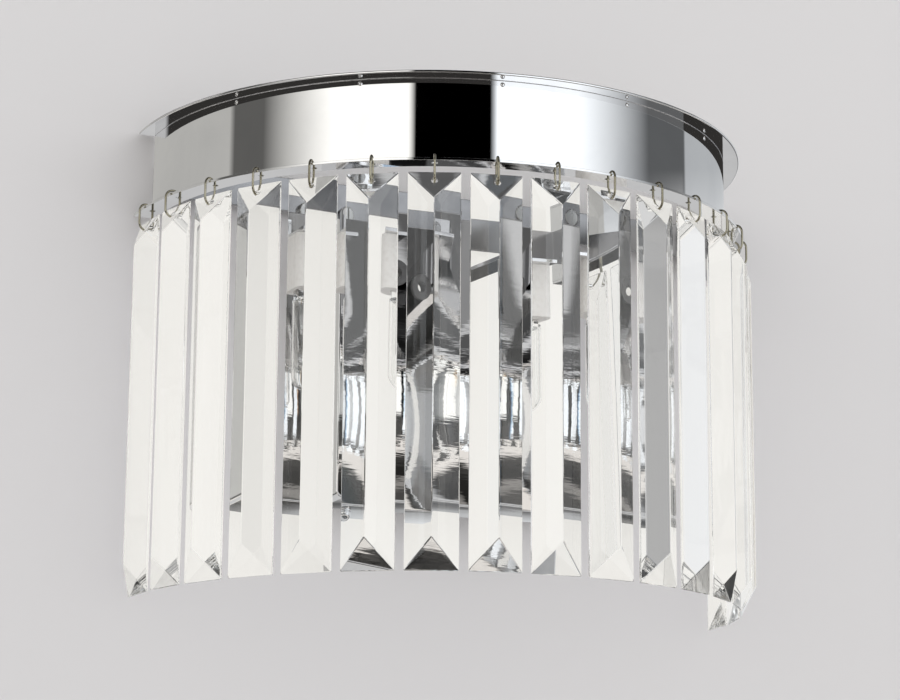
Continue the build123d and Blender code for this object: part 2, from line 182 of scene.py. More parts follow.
def newMaterial(name):
    material = bpy.data.materials.new(name)
    material.use_nodes = True
    tree = material.node_tree
    tree.nodes.clear()
    out = addNode(tree, "OutputMaterial")
    coords = addNode(tree, "TexCoord").outputs["Object"]
    return material, tree, out, coords


# metals

metalLook = {"smudgeSize": 35.0, "scratchSize": 850.0, "dustGrain": 300.0, "dustColour": (0.62, 0.6, 0.57),
             "dustRough": 0.3, "grainSize": 1500.0, "fineStrength": 0.35, "fineDepth": 0.00004}


def crownBump(tree, coords, crown, normal):
    # shades the plate's flat face as a shallow bulge, which its mesh doesn't have:
    # height = -(x x / (2 acrossRadius) + z z / (2 upRadius)), on what faces the front only
    x, y, z = addNode(tree, "SeparateXYZ", {0: coords}).outputs
    z = maths(tree, "SUBTRACT", z, crown["centreUp"])
    across = maths(tree, "MULTIPLY", maths(tree, "MULTIPLY", x, x), -0.5 / crown["acrossRadius"])
    up = maths(tree, "MULTIPLY", maths(tree, "MULTIPLY", z, z), -0.5 / crown["upRadius"])
    facing = addNode(tree, "SeparateXYZ", {0: addNode(tree, "NewGeometry").outputs["Normal"]}).outputs[1]
    front = maths(tree, "LESS_THAN", facing, crown["frontLimit"])
    # rolling lines run across the sheet, and the pressing leaves it faintly wavy
    stretched = addNode(tree, "Mapping", {"Vector": coords, "Scale": crown["rollStretch"]}).outputs[0]
    rolled = addNode(tree, "TexNoise", {"Vector": stretched, "Scale": crown["rollScale"], "Detail": 3.0})
    upright = addNode(tree, "Mapping", {"Vector": coords, "Scale": crown["waveStretch"]}).outputs[0]
    pressed = addNode(tree, "TexNoise", {"Vector": upright, "Scale": crown["waveScale"], "Detail": 1.0})
    lines = maths(tree, "MULTIPLY", rolled.outputs[0], crown["rollDepth"])
    waves = maths(tree, "MULTIPLY", pressed.outputs[0], crown["waveDepth"])
    height = maths(tree, "ADD", maths(tree, "ADD", across, up), maths(tree, "ADD", lines, waves))
    height = maths(tree, "MULTIPLY", height, front)
    bulge = addNode(tree, "Bump", {"Height": height, "Strength": 1.0, "Distance": 1.0, "Normal": normal})
    return bulge.outputs[0]


def makeMetal(name, colour, darker, roughness, smudged=0.05, dusted=0.1, wavy=0.0, waveSize=18.0,
              grain=0.0, scratch=0.12, grainStretch=(1.0, 1.0, 0.04), crown=None):
    material, tree, out, coords = newMaterial(name)
    marks = placeGroup(tree, handlingMarks, Vector=coords, Smudge_Size=metalLook["smudgeSize"],
                       Scratch_Size=metalLook["scratchSize"])
    film = placeGroup(tree, dustFilm, Vector=coords, Amount=dusted, Grain=metalLook["dustGrain"])
    lines = placeGroup(tree, drawnGrain, Vector=coords, Size=metalLook["grainSize"], Stretch=grainStretch)
    tinted = mixColour(tree, marks["Smudge"], (*colour, 1), (*darker, 1))
    dusty = mixColour(tree, film["Mask"], tinted, (*metalLook["dustColour"], 1))
    rough = maths(tree, "ADD", roughness, maths(tree, "MULTIPLY", marks["Smudge"], smudged))
    rough = maths(tree, "ADD", rough, maths(tree, "MULTIPLY", film["Mask"], metalLook["dustRough"]))
    height = maths(tree, "MULTIPLY", marks["Scratch"], -scratch)
    height = maths(tree, "ADD", height, maths(tree, "MULTIPLY", lines["Lines"], grain))
    waves = addNode(tree, "TexNoise", {"Vector": coords, "Scale": waveSize, "Detail": 1.0})
    fine = addNode(tree, "Bump", {"Height": height, "Strength": metalLook["fineStrength"],
                                  "Distance": metalLook["fineDepth"]})
    broad = addNode(tree, "Bump", {"Height": waves.outputs[0], "Strength": 1.0, "Distance": wavy,
                                   "Normal": fine.outputs[0]})
    normal = broad.outputs[0]
    if crown:
        normal = crownBump(tree, coords, crown, normal)
    shader = addNode(tree, "BsdfPrincipled", {"Base Color": dusty, "Metallic": 1.0, "Roughness": rough,
                                              "Normal": normal})
    tree.links.new(shader.outputs[0], out.inputs["Surface"])
    return material


chromeDrum = makeMetal("chromeDrum", (0.86, 0.86, 0.865), (0.80, 0.80, 0.81), 0.018, smudged=0.02, dusted=0.05,
                       wavy=0.00012, waveSize=9.0, scratch=0.02)
chromeTrim = makeMetal("chromeTrim", (0.84, 0.84, 0.85), (0.77, 0.77, 0.78), 0.05, smudged=0.05, dusted=0.12,
                       wavy=0.0001, waveSize=24.0, scratch=0.08)
mirrorChrome = makeMetal("mirrorChrome", (0.87, 0.87, 0.875), (0.82, 0.82, 0.83), 0.012, smudged=0.025,
                         dusted=0.06, wavy=0.00022, waveSize=14.0, scratch=0.03,
                         crown={"acrossRadius": 0.062, "upRadius": 0.051, "centreUp": -0.015,
                                "frontLimit": -0.8, "rollStretch": (0.12, 1.0, 1.0), "rollScale": 520.0,
                                "rollDepth": 0.0001, "waveStretch": (1.0, 1.0, 0.3), "waveScale": 160.0,
                                "waveDepth": 0.00006})
strapSteel = makeMetal("strapSteel", (0.33, 0.33, 0.34), (0.27, 0.27, 0.28), 0.2, smudged=0.08, dusted=0.15,
                       wavy=0.0001, waveSize=20.0, grain=0.15, scratch=0.1, grainStretch=(0.04, 1.0, 1.0))
chromeScrew = makeMetal("chromeScrew", (0.82, 0.82, 0.83), (0.72, 0.72, 0.73), 0.09, dusted=0.1, scratch=0.2)
nickelWire = makeMetal("nickelWire", (0.52, 0.49, 0.39), (0.30, 0.27, 0.19), 0.10, smudged=0.16, dusted=0.1,
                       grain=0.12, scratch=0.2)
zincSteel = makeMetal("zincSteel", (0.60, 0.60, 0.58), (0.46, 0.45, 0.42), 0.32, smudged=0.16, dusted=0.25,
                      grain=0.5, scratch=0.3, grainStretch=(1.0, 1.0, 0.08))
screwSteel = makeMetal("screwSteel", (0.58, 0.58, 0.58), (0.42, 0.42, 0.41), 0.24, smudged=0.12, dusted=0.2,
                       grain=0.3, scratch=0.3)
lampPin = makeMetal("lampPin", (0.55, 0.55, 0.56), (0.40, 0.40, 0.41), 0.28, grain=0.4)
tungsten = makeMetal("tungsten", (0.36, 0.35, 0.34), (0.24, 0.23, 0.22), 0.35, smudged=0.1, grain=0.3)
earthBrass = makeMetal("earthBrass", (0.74, 0.55, 0.25), (0.50, 0.36, 0.16), 0.22, smudged=0.14, dusted=0.2,
                       grain=0.2)


# glass

def makeGlass(name, colour, ior, wavy, waveSize, shadowTint):
    # soft light goes straight through, so that what stands behind the glass isn't black
    material, tree, out, coords = newMaterial(name)
    waves = addNode(tree, "TexNoise", {"Vector": coords, "Scale": waveSize, "Detail": 1.0})
    bump = addNode(tree, "Bump", {"Height": waves.outputs[0], "Strength": 1.0, "Distance": wavy})
    shader = addNode(tree, "BsdfPrincipled", {"Base Color": (*colour, 1), "Roughness": 0.0, "IOR": ior,
                                              "Transmission Weight": 1.0, "Normal": bump.outputs[0]})
    path = addNode(tree, "LightPath").outputs
    passing = maths(tree, "MAXIMUM", path["Is Shadow Ray"], path["Is Diffuse Ray"])
    clear = addNode(tree, "BsdfTransparent", {"Color": (*shadowTint, 1)})
    both = addNode(tree, "MixShader", {0: passing, 1: shader.outputs[0], 2: clear.outputs[0]})
    tree.links.new(both.outputs[0], out.inputs["Surface"])
    return material


crystal = makeGlass("crystal", (0.993, 0.996, 0.996), 1.52, 0.000005, 60.0, (0.94, 0.94, 0.945))
lampGlass = makeGlass("lampGlass", (0.99, 0.99, 0.985), 1.47, 0.00002, 120.0, (0.95, 0.95, 0.95))


# ceramic, plastic, rubber

matteLook = {"fleckDetail": 6.0, "fleckRough": 0.65, "fleckRange": (0.45, 0.75), "dusted": 0.2, "dustGrain": 220.0,
             "dustColour": (0.6, 0.58, 0.55), "smudgeSize": 60.0, "scratchSize": 700.0, "smudged": 0.12,
             "bumpStrength": 0.6}


def makeMatte(name, colour, fleck, roughness, fleckSize, bumpDepth):
    material, tree, out, coords = newMaterial(name)
    grain = addNode(tree, "TexNoise", {"Vector": coords, "Scale": fleckSize, "Detail": matteLook["fleckDetail"],
                                       "Roughness": matteLook["fleckRough"]})
    flecks = maskOf(tree, grain.outputs[0], matteLook["fleckRange"])
    film = placeGroup(tree, dustFilm, Vector=coords, Amount=matteLook["dusted"], Grain=matteLook["dustGrain"])
    marks = placeGroup(tree, handlingMarks, Vector=coords, Smudge_Size=matteLook["smudgeSize"],
                       Scratch_Size=matteLook["scratchSize"])
    tinted = mixColour(tree, flecks, (*colour, 1), (*fleck, 1))
    dusty = mixColour(tree, film["Mask"], tinted, (*matteLook["dustColour"], 1))
    rough = maths(tree, "ADD", roughness, maths(tree, "MULTIPLY", marks["Smudge"], matteLook["smudged"]))
    bump = addNode(tree, "Bump", {"Height": grain.outputs[0], "Strength": matteLook["bumpStrength"],
                                  "Distance": bumpDepth})
    shader = addNode(tree, "BsdfPrincipled", {"Base Color": dusty, "Roughness": rough,
                                              "Normal": bump.outputs[0]})
    tree.links.new(shader.outputs[0], out.inputs["Surface"])
    return material


socketCeramic = makeMatte("socketCeramic", (0.86, 0.84, 0.80), (0.74, 0.71, 0.66), 0.5, 700.0, 0.00004)
terminalPlastic = makeMatte("terminalPlastic", (0.80, 0.80, 0.76), (0.74, 0.74, 0.70), 0.42, 400.0, 0.00002)
grommetRubber = makeMatte("grommetRubber", (0.13, 0.13, 0.13), (0.10, 0.10, 0.10), 0.5, 900.0, 0.00003)

print("stage: materials made")


# mesh helpers

def signedVolume(points, triangles):
    a, b, c = points[triangles[:, 0]], points[triangles[:, 1]], points[triangles[:, 2]]
    return float(np.einsum("ij,ij->i", a, np.cross(b, c)).sum() / 6)


def meshFrom(name, points, faces, material, sharpAngle=35.0):
    # faces is a list of index rows; the whole shape is turned inside out if its faces point inwards
    points = np.asarray(points, float).reshape(-1, 3)
    fans = np.array([(row[0], row[k], row[k + 1]) for row in faces for k in range(1, len(row) - 1)])
    if signedVolume(points - points.mean(0), fans) < 0:
        faces = [tuple(reversed(row)) for row in faces]
    mesh = bpy.data.meshes.new(name)
    mesh.from_pydata(points.tolist(), [], [tuple(int(i) for i in row) for row in faces])
    mesh.materials.append(material)
    mesh.shade_smooth()
    mesh.set_sharp_from_angle(angle=math.radians(sharpAngle))
    piece = bpy.data.objects.new(name, mesh)
    bpy.context.scene.collection.objects.link(piece)
    return piece


def gridFaces(rows, columns, closeRows=False, closeColumns=False):
    # quads of a grid whose points are numbered row by row
    i = np.arange(rows if closeRows else rows - 1)
    j = np.arange(columns if closeColumns else columns - 1)
    i, j = np.meshgrid(i, j, indexing="ij")
    nextI, nextJ = (i + 1) % rows, (j + 1) % columns
    quads = np.stack([i * columns + j, i * columns + nextJ, nextI * columns + nextJ, nextI * columns + j], -1)
    return quads.reshape(-1, 4).tolist()


def settle(piece, body, slot, *replaced):
    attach(piece, body)
    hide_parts(*replaced)


flatSupport = 0.1  # millimetres along each side to a further point, which keeps the flats flat when shaded


def roundedSection(r0, r1, z0, z1, corner, steps=4):
    # a rectangle from (r0, z0) to (r1, z1) whose four corners are quarter circles, as rows of (r, z)
    turn = np.linspace(0, math.pi / 2, steps + 1)
    rows = []
    for k, (r, z) in enumerate([(r1 - corner, z1 - corner), (r0 + corner, z1 - corner),
                                (r0 + corner, z0 + corner), (r1 - corner, z0 + corner)]):
        angle = turn + k * math.pi / 2
        arc = np.stack([r + corner * np.cos(angle), z + corner * np.sin(angle)], 1)
        before = arc[0] + flatSupport * np.array([math.sin(angle[0]), -math.cos(angle[0])])
        after = arc[-1] + flatSupport * np.array([-math.sin(angle[-1]), math.cos(angle[-1])])
        rows.append(np.concatenate([before[None], arc, after[None]]))
    return np.concatenate(rows)


def bentStrip(name, settings, material, steps=400):
    # the rounded section carried round the half circle: (r sin a, -r cos a, z), with a cap at each end
    section = roundedSection(settings["inner"], settings["outer"], settings["bottom"], settings["top"],
                             settings["corner"])
    middle = (settings["inner"] + settings["outer"]) / 2
    last = math.pi / 2 - math.asin(settings["wallGap"] / middle)
    angle = np.linspace(-last, last, steps)[:, None]
    r, z = section[None, :, 0], section[None, :, 1]
    points = np.stack([r * np.sin(angle), -r * np.cos(angle), z + 0 * angle], -1)
    count = len(section)
    faces = gridFaces(steps, count, closeColumns=True)
    faces.append(list(range(count)))
    faces.append([(steps - 1) * count + k for k in reversed(range(count))])
    return meshFrom(name, points * mm, faces, material)


# drum

drumBand = {"inner": 121.0, "outer": 122.0, "bottom": 53.5, "top": 87.2, "corner": 0.2, "wallGap": 1.0}
topFlange = {"inner": 121.0, "outer": 128.5, "bottom": 87.2, "top": 88.2, "corner": 0.35, "wallGap": 1.0}

settle(bentStrip("bandSheet", drumBand, chromeDrum), "lamp_frame", "chrome_drum", "drum_band")
settle(bentStrip("flangeSheet", topFlange, chromeDrum), "lamp_frame", "chrome_drum", "top_flange")
print("stage: drum made")


# crystal prisms

prism = {"length": 150.0, "width": 20.0, "depth": 7.0, "sideLand": 0.8, "bevel": 11.6, "endLand": 0.6,
         "bore": 2.5, "boreDrop": 4.0, "boreAround": 32, "drillReach": (-9, 3), "top": 48.746,
         "backRadius": 125.704, "edge": 0.3, "edgeSteps": 3, "edgeAngle": 12}
hang = {"count": 17, "pivotRadius": 128.0, "pivotHeight": 51.828}


def makePrismBlank():
    # a flat back, two long faces that meet in a ridge, and at each end a facet from the end land to the ridge;
    # the bore is cut by a round drill: (r cos a, y, r sin a - boreDrop)
    half, land, depth = prism["width"] / 2, prism["sideLand"], prism["depth"]
    endLand, bevel, length = prism["endLand"], prism["bevel"], prism["length"]
    cut = bevel * (land - endLand) / (depth - endLand)
    top = np.array([(-half, 0, 0), (half, 0, 0), (half, -endLand, 0), (half, -land, -cut),
                    (0, -depth, -bevel), (-half, -land, -cut), (-half, -endLand, 0)])
    bottom = top * (1, 1, -1) + (0, 0, -length)
    outward = [(0, 6, 2, 1), (2, 6, 5, 4, 3), (7, 8, 9, 13), (9, 10, 11, 12, 13), (0, 1, 8, 7),
               (1, 2, 3, 10, 9, 8), (3, 4, 11, 10), (4, 5, 12, 11), (5, 6, 0, 7, 13, 12)]
    blank = meshFrom("prismBlank", np.concatenate([top, bottom]) * mm, outward, crystal, sharpAngle=10.0)
    tidy = bmesh.new()
    tidy.from_mesh(blank.data)
    bmesh.ops.recalc_face_normals(tidy, faces=tidy.faces)
    tidy.to_mesh(blank.data)
    tidy.free()
    bevelStep = blank.modifiers.new("softEdges", "BEVEL")
    bevelStep.width = prism["edge"] * mm
    bevelStep.segments = prism["edgeSteps"]
    bevelStep.limit_method = "ANGLE"
    bevelStep.angle_limit = math.radians(prism["edgeAngle"])
    count, r = prism["boreAround"], prism["bore"] / 2
    a = np.linspace(0, 2 * math.pi, count, endpoint=False)
    rows = [np.stack([r * np.cos(a), y + 0 * a, r * np.sin(a) - prism["boreDrop"]], 1)
            for y in prism["drillReach"]]
    faces = gridFaces(2, count, closeColumns=True)
    faces += [list(range(count)), list(range(2 * count - 1, count - 1, -1))]
    drill = meshFrom("drill", np.concatenate(rows) * mm, faces, crystal)
    bore = blank.modifiers.new("bore", "BOOLEAN")
    bore.object = drill
    bore.solver = "EXACT"
    bpy.context.view_layer.update()
    made = bpy.data.meshes.new_from_object(blank.evaluated_get(bpy.context.evaluated_depsgraph_get()))
    for spare in (blank, drill):
        bpy.data.objects.remove(spare)
    points = np.zeros(len(made.vertices) * 3)
    made.vertices.foreach_get("co", points)
    return points.reshape(-1, 3), [list(face.vertices) for face in made.polygons]


def turnRound(points, angle):
    # rotation about the upright line through the origin
    return points @ np.array(Matrix.Rotation(angle, 3, "Z")).T


def placeRound(index):
    # the middle of each of the equal shares of the half circle, from the left
    return math.radians((index + 0.5) * 180 / hang["count"] - 90)


prismPoints, prismFaces = makePrismBlank()
for index in range(hang["count"]):
    number = f"{index + 1:02d}"
    hung = prismPoints + np.array([0, -prism["backRadius"], prism["top"]]) * mm
    hung = turnRound(hung, placeRound(index))
    piece = meshFrom("prismCrystal_" + number, hung, prismFaces, crystal, sharpAngle=3.0)
    settle(piece, "pendant_" + number, "crystal", "prism_" + number)
print("stage: prisms hung")


# wire rings

ringWire = {"wire": 0.9, "lineRadius": 2.996, "leg": 4.708, "around": 12, "along": 14}
# degrees that each ring is turned on the lip, from the left; its hole leaves room for 12
ringTurn = [12, -8, 10, 6, 7, 3, 0, -4, -7, -10, -11, -12, -8, -12, 6, -11, 8]


def ringLine():
    # an oval: a half circle over the pivot, a straight leg, a half circle under it and a straight leg back
    r, leg, steps = ringWire["lineRadius"], ringWire["leg"], ringWire["along"]
    over = np.linspace(0, math.pi, steps)
    under = np.linspace(math.pi, 2 * math.pi, steps)
    top = np.stack([-r * np.cos(over), r * np.sin(over)], 1)
    bottom = np.stack([-r * np.cos(under), r * np.sin(under) - leg], 1)
    return np.concatenate([top, bottom])


def makeRing(number, angle, turn):
    # a circle of the wire's radius carried round the oval: centre + radius (cos b outward + sin b sideways)
    line = ringLine()
    ahead = np.roll(line, -1, 0) - np.roll(line, 1, 0)
    ahead = ahead / np.linalg.norm(ahead, axis=1)[:, None]
    outward = np.stack([ahead[:, 1], -ahead[:, 0]], 1)
    b = np.linspace(0, 2 * math.pi, ringWire["around"], endpoint=False)
    r = ringWire["wire"] / 2
    y = line[:, None, 0] + r * np.cos(b) * outward[:, None, 0]
    z = line[:, None, 1] + r * np.cos(b) * outward[:, None, 1]
    points = np.stack([r * np.sin(b) + 0 * y, y, z], -1).reshape(-1, 3)
    points = turnRound(points, turn) + (0, -hang["pivotRadius"], hang["pivotHeight"])
    points = turnRound(points, angle)
    faces = gridFaces(len(line), ringWire["around"], closeRows=True, closeColumns=True)
    return meshFrom("wireRing_" + number, points * mm, faces, nickelWire, sharpAngle=60.0)


for index in range(hang["count"]):
    number = f"{index + 1:02d}"
    ring = makeRing(number, placeRound(index), math.radians(ringTurn[index]))
    settle(ring, "pendant_" + number, "nickel_wire", "ring_" + number)
print("stage: rings made")


# filaments inside the two lamps

filament = {"length": 8.0, "radius": 0.9, "turns": 9, "wire": 0.16, "aboveTip": 15.0, "belowCap": 8.5,
            "around": 6, "perTurn": 16, "legSteps": 6}


def makeFilament(side):
    # a straight leg down, a coil (x rises, y = r cos p, z = coilHeight - r sin p) and a leg up,
    # with a circle carried along them: centre + wire (cos b across + sin b other)
    low, high = (np.array(corner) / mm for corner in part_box("bulb_" + side))
    middle, r, half = (low + high) / 2, filament["radius"], filament["length"] / 2
    coilHeight, legTop = low[2] + filament["aboveTip"], high[2] - filament["belowCap"]
    p = np.linspace(0, (2 * filament["turns"] + 1) * math.pi, filament["turns"] * filament["perTurn"])
    coil = np.stack([np.linspace(-half, half, len(p)), r * np.cos(p), -r * np.sin(p) + coilHeight], 1)
    rise = np.linspace(legTop, coilHeight, filament["legSteps"], endpoint=False)
    down = np.stack([-half + 0 * rise, r + 0 * rise, rise], 1)
    up = np.stack([half + 0 * rise, -r + 0 * rise, rise], 1)[::-1]
    line = np.concatenate([down, coil, up]) + (middle[0], middle[1], 0)
    ahead = np.gradient(line, axis=0)
    ahead = ahead / np.linalg.norm(ahead, axis=1)[:, None]
    across = np.cross(ahead, (1.0, 0.0, 0.0))
    across = across / np.linalg.norm(across, axis=1)[:, None]
    other = np.cross(ahead, across)
    b = np.linspace(0, 2 * math.pi, filament["around"], endpoint=False)[None, :, None]
    points = line[:, None] + filament["wire"] * (np.cos(b) * across[:, None] + np.sin(b) * other[:, None])
    count = filament["around"]
    faces = gridFaces(len(line), count, closeColumns=True)
    faces += [list(range(count)), [(len(line) - 1) * count + k for k in reversed(range(count))]]
    return meshFrom("filament_" + side, points.reshape(-1, 3) * mm, faces, tungsten, sharpAngle=70.0)


for side in ("left", "right"):
    coil = makeFilament(side)
    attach(coil, "lamp_frame")
print("stage: filaments made")


# dressed copies of the CAD pieces: merged, smooth on curves, with small softened edges

dressed = {
    "bottom_lip": (chromeDrum, 0.2), "weld_dots": (chromeDrum, 0.0),
    "rear_strap": (strapSteel, 0.25), "strap_screws": (screwSteel, 0.12),
    "back_plate": (mirrorChrome, 0.12), "plate_screws": (chromeScrew, 0.12),
    "wall_bracket": (zincSteel, 0.25), "earth_screw": (earthBrass, 0.12),
    "lamp_bracket_left": (chromeTrim, 0.2), "lamp_bracket_right": (chromeTrim, 0.2),
    "lamp_bracket_screws": (screwSteel, 0.1), "lamp_bracket_nuts": (screwSteel, 0.15),
    "socket_left": (socketCeramic, 0.3), "socket_right": (socketCeramic, 0.3),
    "socket_screws": (screwSteel, 0.1), "bulb_left": (lampGlass, 0.0), "bulb_right": (lampGlass, 0.0),
    "bulb_pins": (lampPin, 0.1), "terminal_block": (terminalPlastic, 0.2),
    "terminal_screws": (screwSteel, 0.1), "lead_grommets": (grommetRubber, 0.2),
}


dressing = {"mergeWithin": 0.000002, "flatWithin": 0.4, "sharpAngle": 32, "edgeAngle": 40, "edgeSteps": 2}


def dressCopy(node, material, edge):
    mesh = nodes[node].data.copy()
    work = bmesh.new()
    work.from_mesh(mesh)
    bmesh.ops.remove_doubles(work, verts=work.verts, dist=dressing["mergeWithin"])
    bmesh.ops.dissolve_limit(work, angle_limit=math.radians(dressing["flatWithin"]), verts=work.verts,
                             edges=work.edges)
    work.to_mesh(mesh)
    work.free()
    mesh.name = node + "_dressed"
    mesh.materials.clear()
    mesh.materials.append(material)
    mesh.shade_smooth()
    mesh.set_sharp_from_angle(angle=math.radians(dressing["sharpAngle"]))
    piece = bpy.data.objects.new(node + "_dressed", mesh)
    bpy.context.scene.collection.objects.link(piece)
    if edge > 0:
        soften = piece.modifiers.new("softEdges", "BEVEL")
        soften.width = edge * mm
        soften.segments = dressing["edgeSteps"]
        soften.limit_method = "ANGLE"
        soften.angle_limit = math.radians(dressing["edgeAngle"])
        soften.harden_normals = True
    return piece


slotOf = {part["node"]: part["material_slot"] for part in frame["record"]["subparts"]}
for node, (material, edge) in dressed.items():
    settle(dressCopy(node, material, edge), bodyOf[node], slotOf[node], node)
print("stage: fixed pieces dressed")


# wall and floor

backdrop = {"colour": (0.69, 0.675, 0.675), "throughGlass": (0.95, 0.93, 0.88), "glassShare": 0.8,
            "mottle": (0.98, 0.98, 0.98), "mottleSize": 3.0, "left": -2.4, "right": 2.4, "bottom": -1.2,
            "top": 1.6, "behind": 0.0004, "floorSide": 3.0, "floorFront": -4.5, "floorBack": 3.0}


def makeBackdropMaterial(name, hiddenThroughGlass):
    # pale and matt; from its back it lets the camera through, so the object can be looked at from there
    material, tree, out, coords = newMaterial(name)
    path = addNode(tree, "LightPath").outputs
    grain = addNode(tree, "TexNoise", {"Vector": coords, "Scale": backdrop["mottleSize"], "Detail": 2.0})
    mottle = mixColour(tree, grain.outputs[0], (1.0, 1.0, 1.0, 1), (*backdrop["mottle"], 1))
    pale = mixColour(tree, 1.0, (*backdrop["colour"], 1), mottle, "MULTIPLY")
    matt = addNode(tree, "BsdfDiffuse", {"Color": pale})
    # crystal shows most of the background plain, with only a little of the shadow on it
    plain = addNode(tree, "Emission", {"Color": (*backdrop["throughGlass"], 1)})
    share = maths(tree, "MULTIPLY", path["Is Transmission Ray"], backdrop["glassShare"])
    matt = addNode(tree, "MixShader", {0: share, 1: matt.outputs[0], 2: plain.outputs[0]})
    clear = addNode(tree, "BsdfTransparent")
    fromBack = addNode(tree, "NewGeometry").outputs["Backfacing"]
    hidden = maths(tree, "MULTIPLY", fromBack, path["Is Camera Ray"])
    # polished metal shows the studio instead of this sheet, and so does crystal instead of the floor;
    # a ray bent by crystal counts as glossy too
    mirrored = path["Is Glossy Ray"]
    if not hiddenThroughGlass:
        mirrored = maths(tree, "SUBTRACT", mirrored, path["Is Transmission Ray"], clamp=True)
    hidden = maths(tree, "MAXIMUM", hidden, mirrored)
    both = addNode(tree, "MixShader", {0: hidden, 1: matt.outputs[0], 2: clear.outputs[0]})
    tree.links.new(both.outputs[0], out.inputs["Surface"])
    return material


def makeSheet(name, corners, material):
    mesh = bpy.data.meshes.new(name)
    mesh.from_pydata(corners, [], [(0, 1, 2, 3)])
    mesh.materials.append(material)
    sheet = bpy.data.objects.new(name, mesh)
    bpy.context.scene.collection.objects.link(sheet)


left, right, low, high = (backdrop[key] for key in ("left", "right", "bottom", "top"))
wallY, floorSide = backdrop["behind"], backdrop["floorSide"]
front, rear = backdrop["floorFront"], backdrop["floorBack"]
makeSheet("wall", [(left, wallY, low), (right, wallY, low), (right, wallY, high), (left, wallY, high)],
          makeBackdropMaterial("paleWall", False))
makeSheet("floor", [(-floorSide, front, low), (floorSide, front, low), (floorSide, rear, low),
                    (-floorSide, rear, low)], makeBackdropMaterial("paleFloor", True))
print("stage: backdrop made")


# studio: soft light from both sides with a dark gap towards the camera

# angles are in degrees: azimuth is 0 straight out from the wall and positive to the right
# softBox, dimSide, room: the light of the two soft boxes, of the dim sides beyond them and of the room behind
# leftBox, rightBox: azimuths at which a soft box begins to fade in, is full, is full to, and has faded out
# roomFrom: azimuths beyond which the room begins; the right one also ends uprightRight
# uprightLeft, uprightRight: (elevation in degrees; how much of that light there is on this side)
# over and under: (elevation; light)
# low, lowUpright: a lower sheet of light beside the sconce, which the band above it doesn't show
# fringe: degrees that red and blue are read apart from green; fill: further light on matt surfaces only
# behindWidth, behindHeight, steepWidth, steepHeight: wall and ground seen in the underside of flange and lip
# and in the lower ends of the prisms (degrees from straight back, and elevation)
studio = {
    "softBox": 1.3, "dimSide": 0.12, "room": 0.5,
    "leftBox": (-90, -60, -30, -29), "rightBox": (1, 2, 35, 70), "roomFrom": (-105, 93),
    "warmSide": (1.0, 0.985, 0.94), "coolSide": (0.965, 1.0, 1.03),
    "uprightLeft": [(-90, 0.0), (-11, 0.0), (-7, 1.0), (25, 1.0), (29, 0.0), (90, 0.0)],
    "uprightRight": [(-90, 0.0), (-27, 0.0), (-23, 1.0), (25, 1.0), (29, 0.0), (90, 0.0)],
    "over": [(-90, 0.0), (30, 0.0), (35, 0.04), (36, 0.8), (38, 0.8), (39, 0.06), (46, 0.07), (47, 0.5),
             (48, 0.1), (57, 0.1), (58, 0.6), (60, 0.6), (61, 0.28), (67, 0.28), (69, 0.12), (82, 0.12),
             (86, 0.6), (90, 0.6)],
    "overAround": [(-180, 1.0), (-33, 1.0), (-30, 0.08), (2, 0.08), (5, 1.0), (180, 1.0)],
    "under": [(-90, 0.4), (-85, 0.4), (-82, 0.07), (-66, 0.07), (-63, 0.28), (-59, 0.28), (-57, 0.02),
              (-50, 0.02), (-44, 0.06), (-42, 0.03), (-39, 0.9), (-30, 0.9), (-28, 0.03), (-16, 0.04),
              (-12, 0.0), (90, 0.0)],
    "behindWidth": [(0, 0.6), (28, 0.6), (32, 0.0), (180, 0.0)],
    "behindHeight": [(-90, 1.0), (-16, 1.0), (-12, 0.0), (90, 0.0)],
    "steepWidth": [(0, 0.6), (92, 0.6), (98, 0.0), (180, 0.0)],
    "steepHeight": [(-90, 1.0), (-44, 1.0), (-38, 0.0), (90, 0.0)],
    "low": [(-180, 0.0), (60, 0.0), (92, 0.75), (93, 0.3), (180, 0.3)],
    "lowUpright": [(-90, 0.0), (-14, 0.0), (-10, 1.0), (15.6, 1.0), (16.5, 0.0), (90, 0.0)],
    "underTint": (1.0, 0.95, 0.89), "fringe": 0.3, "fill": 0.70, "camera": (0.665, 0.655, 0.655),
}


def lightAround():
    # (azimuth, light): each soft box rises and falls in straight lines, and between the two it is black
    box, side, room = studio["softBox"], studio["dimSide"], studio["room"]
    rise, full, fullTo, gone = studio["leftBox"]
    rightRise, rightFull, rightFullTo, rightGone = studio["rightBox"]
    roomLeft, roomRight = studio["roomFrom"]
    return [(-180, room), (roomLeft - 1, room), (roomLeft, side), (rise, side), (full, box), (fullTo, box),
            (gone, 0.0), (rightRise, 0.0), (rightFull, box), (rightFullTo, box), (rightGone, side),
            (roomRight, side), (roomRight + 1, room), (180, room)]


